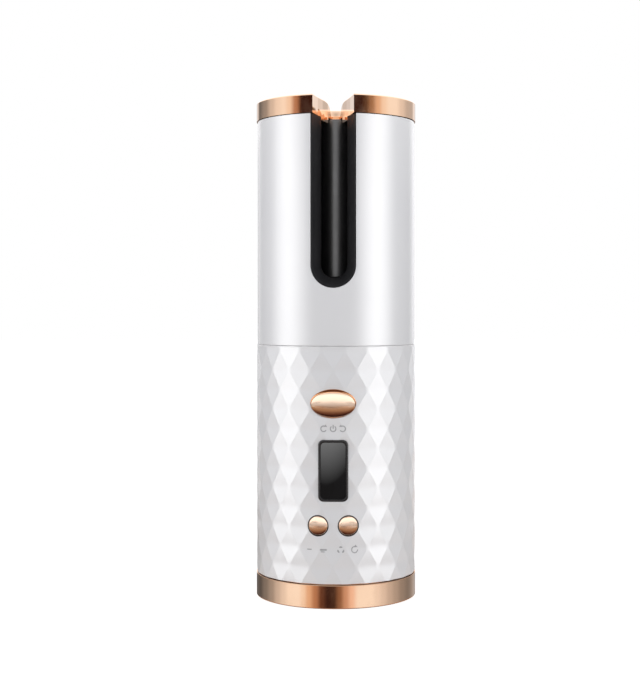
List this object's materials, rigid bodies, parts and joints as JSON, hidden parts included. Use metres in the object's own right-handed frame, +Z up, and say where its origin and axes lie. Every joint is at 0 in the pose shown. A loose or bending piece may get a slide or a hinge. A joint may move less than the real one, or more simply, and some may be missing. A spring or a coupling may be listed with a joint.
{
  "type": "automatic hair curler",
  "caption": "Upright round cordless hair curler: slotted white upper shell over a hidden barrel and rotor, faceted handle with display and buttons, rose-gold end caps.",
  "frame": {"origin": "on the axis of the round body, in the plane of the foot ring's underside", "axes": "+Z up the body towards the slotted top cap, -Y out of the front with the hair slot, display and buttons, +X to the right of someone facing the front"},
  "size_m": [0.063, 0.0644, 0.194],
  "materials": {
    "white_shell": "glossy white moulded plastic",
    "rose_gold_plate": "rose-gold electroplated plastic",
    "throat_plastic": "satin black moulded plastic",
    "barrel_ceramic": "black ceramic coating on aluminium",
    "display_glass": "black tinted display window",
    "black_plastic": "matt black moulded plastic",
    "frame_plastic": "off-white glass-filled plastic",
    "acetal": "natural acetal",
    "foot_rubber": "grey silicone rubber",
    "brass": "machined brass",
    "steel": "zinc-plated steel",
    "nickel": "nickel-plated steel",
    "aluminium": "extruded aluminium",
    "board": "green solder-masked circuit board",
    "cell_wrap": "blue heat-shrink sleeve on a lithium cell",
    "ceramic": "heater ceramic",
    "lead_insulation": "silicone-insulated heater lead"
  },
  "bodies": {
    "housing": {"base_cap": "rose_gold_plate", "foot_ring": "foot_rubber", "base_screw_1": "steel", "base_screw_2": "steel", "base_screw_3": "steel", "handle_shell": "white_shell", "upper_shell": "white_shell", "top_cap": "rose_gold_plate", "slot_throat": "throat_plastic", "chamber_sleeve": "throat_plastic", "hall_sensor": "black_plastic", "gearbox_case": "steel", "motor_can": "nickel", "motor_end_cap": "black_plastic", "motor_terminal_left": "brass", "motor_terminal_right": "brass", "deck_screw_left": "steel", "deck_screw_right": "steel", "gear_deck": "frame_plastic", "barrel_post": "black_plastic", "barrel_collar": "black_plastic", "rotor_bush": "acetal", "barrel": "barrel_ceramic", "heater_clamp_rear": "aluminium", "heater_clamp_front": "aluminium", "heater_plate": "ceramic", "thermistor": "ceramic", "thermal_fuse": "nickel", "heater_lead_left": "lead_insulation", "heater_lead_right": "lead_insulation", "inner_frame": "frame_plastic", "cell_left": "cell_wrap", "cell_right": "cell_wrap", "cell_tab_left": "nickel", "cell_tab_right": "nickel", "cell_link": "nickel", "main_board": "board", "controller_chip": "black_plastic", "display_module": "frame_plastic", "charge_board": "board", "charger_chip": "black_plastic", "charge_port": "steel", "start_switch": "black_plastic", "heat_switch": "black_plastic", "turn_switch": "black_plastic", "display_frame": "black_plastic", "display_window": "display_glass", "start_bezel": "rose_gold_plate"},
    "rotor": {"winding_rotor": "throat_plastic", "hair_catch": "throat_plastic", "rotor_gear": "acetal", "home_magnet": "nickel"},
    "pinion": {"drive_pinion": "brass", "output_shaft": "steel"},
    "start": {"start_button": "rose_gold_plate"},
    "heat": {"heat_button": "rose_gold_plate"},
    "turn": {"turn_button": "rose_gold_plate"}
  },
  "joints": [
    {"name": "rotor_spin", "type": "hinge", "parent": "housing", "child": "rotor", "pos_m": [0, 0, 0.118], "axis": [0, 0, 1], "continuous": true},
    {"name": "pinion_spin", "type": "hinge", "parent": "housing", "child": "pinion", "pos_m": [0, 0.0184, 0.113], "axis": [0, 0, 1], "continuous": true},
    {"name": "start_press", "type": "slide", "parent": "housing", "child": "start", "axis": [0, 1, 0], "range_m": [0, 0.0008], "stiffness_N_per_m": 900},
    {"name": "heat_press", "type": "slide", "parent": "housing", "child": "heat", "axis": [0.184, 0.9829, 0], "range_m": [0, 0.0007], "stiffness_N_per_m": 900},
    {"name": "turn_press", "type": "slide", "parent": "housing", "child": "turn", "axis": [-0.184, 0.9829, 0], "range_m": [0, 0.0007], "stiffness_N_per_m": 900}
  ],
  "couplings": [
    {"joint": "pinion_spin", "follows": "rotor_spin", "ratio": -2.8333}
  ]
}
